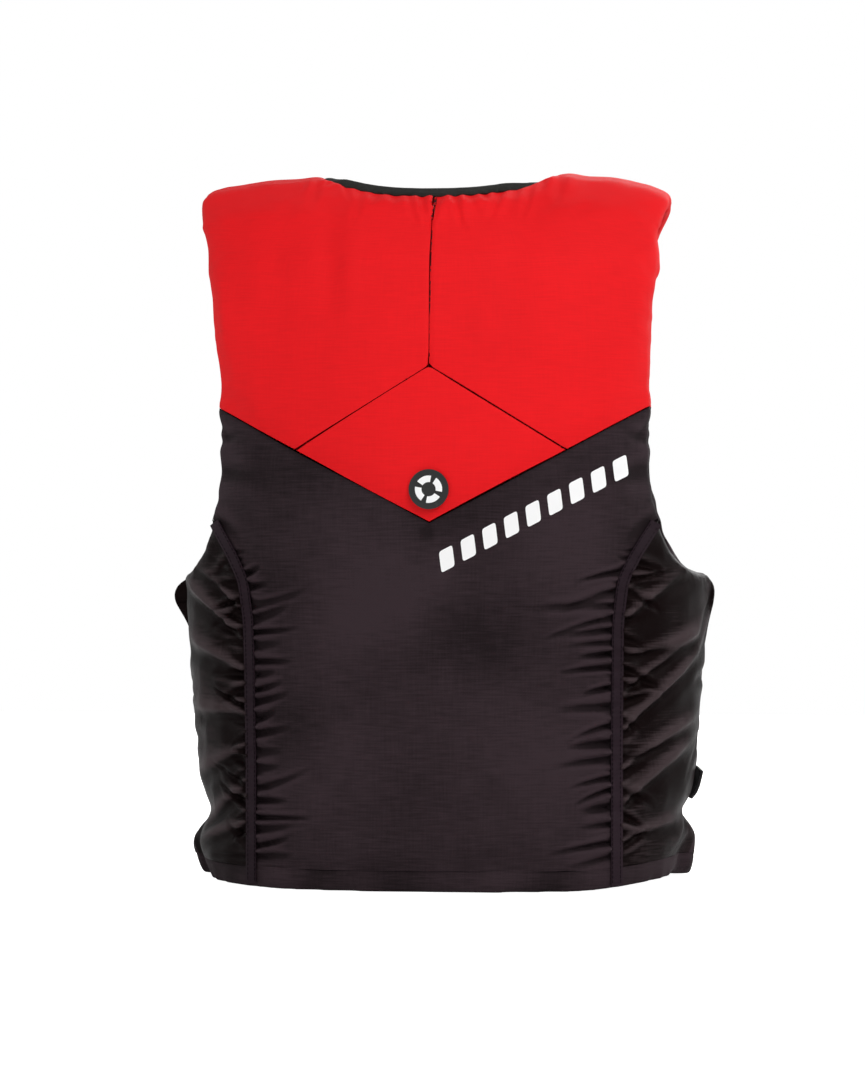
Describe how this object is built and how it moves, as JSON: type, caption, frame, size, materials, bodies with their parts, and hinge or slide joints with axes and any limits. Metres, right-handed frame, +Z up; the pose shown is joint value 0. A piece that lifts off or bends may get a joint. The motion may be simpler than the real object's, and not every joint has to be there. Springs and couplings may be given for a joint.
{
  "type": "buoyancy vest",
  "caption": "Sleeveless foam buoyancy vest with a two-colour back, side-back seam tapes, a front zip and a waist belt with a side-release buckle.",
  "frame": {"origin": "middle of the bounding box, on the surface that the hem stands on", "axes": "+Z up the body, +X to the wearer's right, +Y out of the chest"},
  "size_m": [0.428, 0.2818, 0.56],
  "materials": {
    "red_nylon": "satin",
    "black_nylon": "satin",
    "satin_nylon": "satin",
    "lining_mesh": "matte",
    "seam_tape": "matte",
    "neck_trim": "matte",
    "webbing": "matte",
    "foam": "matte",
    "badge_rubber": "satin",
    "white_print": "matte",
    "black_plastic": "satin",
    "zip_metal": "satin"
  },
  "bodies": {
    "back": {"back_yoke_left": "red_nylon", "back_yoke_right": "red_nylon", "back_kite_panel": "red_nylon", "back_lower_panel": "black_nylon", "side_panel_left": "satin_nylon", "side_panel_right": "satin_nylon", "back_foam_upper": "foam", "back_foam_lower": "foam", "side_foam_left": "foam", "side_foam_right": "foam", "back_lining": "lining_mesh", "back_hem_band": "black_nylon", "neck_binding_back": "neck_trim", "armhole_gusset_back_left": "red_nylon", "armhole_gusset_back_right": "red_nylon", "princess_tape_left": "seam_tape", "princess_tape_right": "seam_tape", "back_badge": "badge_rubber", "back_print": "white_print"},
    "front_right": {"front_yoke_right": "red_nylon", "front_panel_right": "black_nylon", "front_foam_right": "foam", "front_lining_right": "lining_mesh", "front_hem_band_right": "black_nylon", "neck_binding_front_right": "neck_trim", "armhole_gusset_front_right": "red_nylon", "zip_tape_right": "seam_tape", "zip_chain_right": "black_plastic", "zip_top_stop_right": "black_plastic", "zip_box": "black_plastic", "belt_right": "webbing", "buckle_female": "black_plastic", "buckle_male": "black_plastic"},
    "front_left": {"front_yoke_left": "red_nylon", "front_panel_left": "black_nylon", "front_foam_left": "foam", "front_lining_left": "lining_mesh", "front_hem_band_left": "black_nylon", "neck_binding_front_left": "neck_trim", "armhole_gusset_front_left": "red_nylon", "zip_tape_left": "seam_tape", "zip_chain_left": "black_plastic", "zip_top_stop_left": "black_plastic", "zip_insertion_pin": "black_plastic", "belt_left": "webbing", "belt_tail": "webbing", "belt_keeper": "webbing"},
    "zip_slider": {"zip_slider": "zip_metal"},
    "zip_pull": {"zip_pull": "zip_metal"},
    "latch_arm_upper": {"latch_arm_upper": "black_plastic"},
    "latch_arm_lower": {"latch_arm_lower": "black_plastic"},
    "belt_glide_right": {"belt_glide_right": "black_plastic"},
    "belt_glide_left": {"belt_glide_left": "black_plastic"}
  },
  "joints": [
    {"name": "front_right_swing", "type": "hinge", "parent": "back", "child": "front_right", "pos_m": [0.216, -0.00445, 0.2], "axis": [0, 0, 1], "range_deg": [-40, 0]},
    {"name": "front_left_swing", "type": "hinge", "parent": "back", "child": "front_left", "pos_m": [-0.216, -0.00445, 0.2], "axis": [0, 0, 1], "range_deg": [0, 40]},
    {"name": "zip_slider_travel", "type": "slide", "parent": "front_right", "child": "zip_slider", "axis": [0, 0, 1], "range_m": [-0.374, 0]},
    {"name": "zip_pull_swing", "type": "hinge", "parent": "zip_slider", "child": "zip_pull", "pos_m": [0, 0.1227, 0.4074], "axis": [1, 0, 0], "range_deg": [0, 170]},
    {"name": "latch_arm_upper_squeeze", "type": "hinge", "parent": "front_right", "child": "latch_arm_upper", "pos_m": [0.024, 0.1353, 0.087], "axis": [0, 1, 0], "range_deg": [0, 12], "stiffness_Nm_per_rad": 0.5},
    {"name": "latch_arm_lower_squeeze", "type": "hinge", "parent": "front_right", "child": "latch_arm_lower", "pos_m": [0.024, 0.1353, 0.069], "axis": [0, 1, 0], "range_deg": [-12, 0], "stiffness_Nm_per_rad": 0.5},
    {"name": "belt_glide_right_slide", "type": "slide", "parent": "front_right", "child": "belt_glide_right", "axis": [0.9476, -0.3195, 0], "range_m": [-0.02, 0.012]},
    {"name": "belt_glide_left_slide", "type": "slide", "parent": "front_left", "child": "belt_glide_left", "axis": [-0.9476, -0.3195, 0], "range_m": [-0.02, 0.012]}
  ],
  "couplings": [
    {"joint": "front_left_swing", "follows": "front_right_swing", "ratio": -1},
    {"joint": "latch_arm_lower_squeeze", "follows": "latch_arm_upper_squeeze", "ratio": -1}
  ]
}
